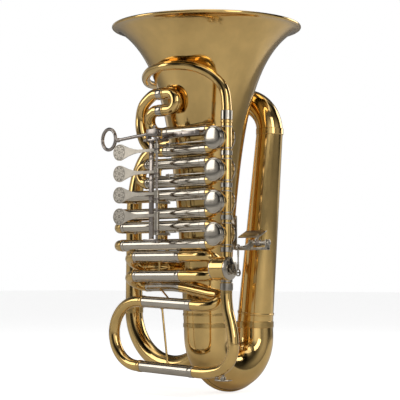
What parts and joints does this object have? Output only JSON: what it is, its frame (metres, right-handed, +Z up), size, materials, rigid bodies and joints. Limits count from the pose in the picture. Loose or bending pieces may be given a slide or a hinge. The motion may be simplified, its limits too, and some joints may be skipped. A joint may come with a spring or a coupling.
{
  "type": "tuba",
  "caption": "Compact rotary tuba: upward bell, conical branch wrap, rotary valves with finger levers, pull-out tuning slides, thumb ring and water key.",
  "frame": {"origin": "on the bell's axis, level with the bottom of the bottom bow", "axes": "+Z up along the bell's axis, -Y to the front where the rotor caps face, +X to the right seen from the front"},
  "size_m": [0.4906, 0.3694, 0.7142],
  "materials": {
    "brass": "polished",
    "nickel": "polished nickel silver",
    "dark_nickel": "satin nickel silver"
  },
  "bodies": {
    "instrument": {"bell": "brass", "bottom_bow": "brass", "bottom_bow_guard": "brass", "outer_branch": "brass", "top_bow": "brass", "rear_leg": "brass", "lower_left_bow": "brass", "left_branch": "brass", "valve_casing_1": "brass", "valve_casing_2": "brass", "valve_casing_3": "brass", "valve_casing_4": "brass", "valve_casing_5": "brass", "leadpipe": "brass", "valve_1_lower_tube": "brass", "valve_1_upper_tube": "brass", "loop_tubes": "brass", "valve_cap_1": "nickel", "valve_back_cover_1": "nickel", "valve_cap_2": "nickel", "valve_back_cover_2": "nickel", "valve_cap_3": "nickel", "valve_back_cover_3": "nickel", "valve_cap_4": "nickel", "valve_back_cover_4": "nickel", "valve_2_tubes": "nickel", "valve_3_tubes": "nickel", "valve_4_tubes": "nickel", "main_slide_rows": "nickel", "valve_cap_5": "nickel", "valve_back_cover_5": "nickel", "lever_5_bracket": "nickel", "lever_axle": "dark_nickel", "lever_frame": "dark_nickel"},
    "lever_1": {"lever_1": "nickel"},
    "link_rod_1": {"link_rod_1": "nickel"},
    "rotor_1": {"rotor_1": "nickel"},
    "lever_2": {"lever_2": "nickel"},
    "link_rod_2": {"link_rod_2": "nickel"},
    "rotor_2": {"rotor_2": "nickel"},
    "lever_3": {"lever_3": "nickel"},
    "link_rod_3": {"link_rod_3": "nickel"},
    "rotor_3": {"rotor_3": "nickel"},
    "lever_4": {"lever_4": "nickel"},
    "link_rod_4": {"link_rod_4": "nickel"},
    "rotor_4": {"rotor_4": "nickel"},
    "lever_5": {"lever_5": "nickel"},
    "link_rod_5": {"link_rod_5": "nickel"},
    "rotor_5": {"rotor_5": "nickel"},
    "valve_1_slide": {"valve_1_slide": "brass"},
    "valve_2_slide": {"valve_2_slide": "brass"},
    "valve_3_upper_slide": {"valve_3_upper_slide": "brass"},
    "valve_3_lower_slide": {"valve_3_lower_slide": "brass"},
    "valve_4_upper_slide": {"valve_4_upper_slide": "brass"},
    "valve_4_lower_slide": {"valve_4_lower_slide": "brass"},
    "main_slide_upper_bow": {"main_slide_upper_bow": "brass"},
    "main_slide_lower_bow": {"main_slide_lower_bow": "brass"},
    "loop_slide": {"loop_slide": "brass"},
    "thumb_ring": {"thumb_ring": "dark_nickel"},
    "water_key": {"water_key": "nickel"}
  },
  "joints": [
    {"name": "lever_1_turn", "type": "hinge", "parent": "instrument", "child": "lever_1", "pos_m": [0, -0.1476, 0.459], "axis": [0, 0, -1], "range_deg": [0, 20], "stiffness_Nm_per_rad": 0.3, "springref_deg": -11.46},
    {"name": "link_rod_1_travel", "type": "slide", "parent": "instrument", "child": "link_rod_1", "axis": [1, 0, 0], "range_m": [0, 0.01164]},
    {"name": "rotor_1_turn", "type": "hinge", "parent": "instrument", "child": "rotor_1", "pos_m": [0.108, -0.107, 0.479], "axis": [0, -1, 0], "range_deg": [0, 90.01]},
    {"name": "lever_2_turn", "type": "hinge", "parent": "instrument", "child": "lever_2", "pos_m": [0, -0.1476, 0.4182], "axis": [0, 0, -1], "range_deg": [0, 20], "stiffness_Nm_per_rad": 0.3, "springref_deg": -11.46},
    {"name": "link_rod_2_travel", "type": "slide", "parent": "instrument", "child": "link_rod_2", "axis": [1, 0, 0], "range_m": [0, 0.01164]},
    {"name": "rotor_2_turn", "type": "hinge", "parent": "instrument", "child": "rotor_2", "pos_m": [0.108, -0.107, 0.4195], "axis": [0, -1, 0], "range_deg": [0, 90.01]},
    {"name": "lever_3_turn", "type": "hinge", "parent": "instrument", "child": "lever_3", "pos_m": [0, -0.1476, 0.3774], "axis": [0, 0, -1], "range_deg": [0, 20], "stiffness_Nm_per_rad": 0.3, "springref_deg": -11.46},
    {"name": "link_rod_3_travel", "type": "slide", "parent": "instrument", "child": "link_rod_3", "axis": [1, 0, 0], "range_m": [0, 0.01164]},
    {"name": "rotor_3_turn", "type": "hinge", "parent": "instrument", "child": "rotor_3", "pos_m": [0.108, -0.107, 0.36], "axis": [0, 1, 0], "range_deg": [0, 90.01]},
    {"name": "lever_4_turn", "type": "hinge", "parent": "instrument", "child": "lever_4", "pos_m": [0, -0.1476, 0.3366], "axis": [0, 0, -1], "range_deg": [0, 20], "stiffness_Nm_per_rad": 0.3, "springref_deg": -11.46},
    {"name": "link_rod_4_travel", "type": "slide", "parent": "instrument", "child": "link_rod_4", "axis": [1, 0, 0], "range_m": [0, 0.01164]},
    {"name": "rotor_4_turn", "type": "hinge", "parent": "instrument", "child": "rotor_4", "pos_m": [0.108, -0.107, 0.3005], "axis": [0, 1, 0], "range_deg": [0, 90.01]},
    {"name": "lever_5_turn", "type": "hinge", "parent": "instrument", "child": "lever_5", "pos_m": [0.1793, -0.06922, 0.28378], "axis": [-1, 0, 0], "range_deg": [0, 31.05], "stiffness_Nm_per_rad": 0.3, "springref_deg": -17.19},
    {"name": "link_rod_5_travel", "type": "slide", "parent": "instrument", "child": "link_rod_5", "axis": [0, 0, 1], "range_m": [0, 0.01557]},
    {"name": "rotor_5_turn", "type": "hinge", "parent": "instrument", "child": "rotor_5", "pos_m": [0.123, -0.105, 0.237], "axis": [1, 0, 0], "range_deg": [0, 90.01]},
    {"name": "valve_1_slide_pull", "type": "slide", "parent": "instrument", "child": "valve_1_slide", "axis": [1, 0, 0], "range_m": [0, 0.012]},
    {"name": "valve_2_slide_pull", "type": "slide", "parent": "instrument", "child": "valve_2_slide", "axis": [-1, 0, 0], "range_m": [0, 0.035]},
    {"name": "valve_3_upper_slide_pull", "type": "slide", "parent": "instrument", "child": "valve_3_upper_slide", "axis": [-1, 0, 0], "range_m": [0, 0.035]},
    {"name": "valve_3_lower_slide_pull", "type": "slide", "parent": "instrument", "child": "valve_3_lower_slide", "axis": [-1, 0, 0], "range_m": [0, 0.035]},
    {"name": "valve_4_upper_slide_pull", "type": "slide", "parent": "instrument", "child": "valve_4_upper_slide", "axis": [-1, 0, 0], "range_m": [0, 0.035]},
    {"name": "valve_4_lower_slide_pull", "type": "slide", "parent": "instrument", "child": "valve_4_lower_slide", "axis": [-1, 0, 0], "range_m": [0, 0.035]},
    {"name": "main_slide_upper_bow_pull", "type": "slide", "parent": "instrument", "child": "main_slide_upper_bow", "axis": [-1, 0, 0], "range_m": [0, 0.012]},
    {"name": "main_slide_lower_bow_pull", "type": "slide", "parent": "instrument", "child": "main_slide_lower_bow", "axis": [-1, 0, 0], "range_m": [0, 0.025]},
    {"name": "loop_slide_pull", "type": "slide", "parent": "instrument", "child": "loop_slide", "axis": [-0.999, 0, 0.0454], "range_m": [0, 0.045]},
    {"name": "thumb_ring_pull", "type": "slide", "parent": "instrument", "child": "thumb_ring", "axis": [-0.9953, 0, -0.0968], "range_m": [0, 0.015]},
    {"name": "water_key_turn", "type": "hinge", "parent": "instrument", "child": "water_key", "pos_m": [0.115, -0.0935, 0.0355], "axis": [0, -1, 0], "range_deg": [0, 15], "stiffness_Nm_per_rad": 0.02, "springref_deg": -28.65}
  ],
  "couplings": [
    {"joint": "link_rod_1_travel", "follows": "lever_1_turn", "m_per_rad": 0.033315},
    {"joint": "rotor_1_turn", "follows": "lever_1_turn", "ratio": 4.5},
    {"joint": "link_rod_2_travel", "follows": "lever_2_turn", "m_per_rad": 0.033315},
    {"joint": "rotor_2_turn", "follows": "lever_2_turn", "ratio": 4.5},
    {"joint": "link_rod_3_travel", "follows": "lever_3_turn", "m_per_rad": 0.033315},
    {"joint": "rotor_3_turn", "follows": "lever_3_turn", "ratio": 4.5},
    {"joint": "link_rod_4_travel", "follows": "lever_4_turn", "m_per_rad": 0.033315},
    {"joint": "rotor_4_turn", "follows": "lever_4_turn", "ratio": 4.5},
    {"joint": "link_rod_5_travel", "follows": "lever_5_turn", "m_per_rad": 0.028705},
    {"joint": "rotor_5_turn", "follows": "lever_5_turn", "ratio": 2.8986}
  ]
}
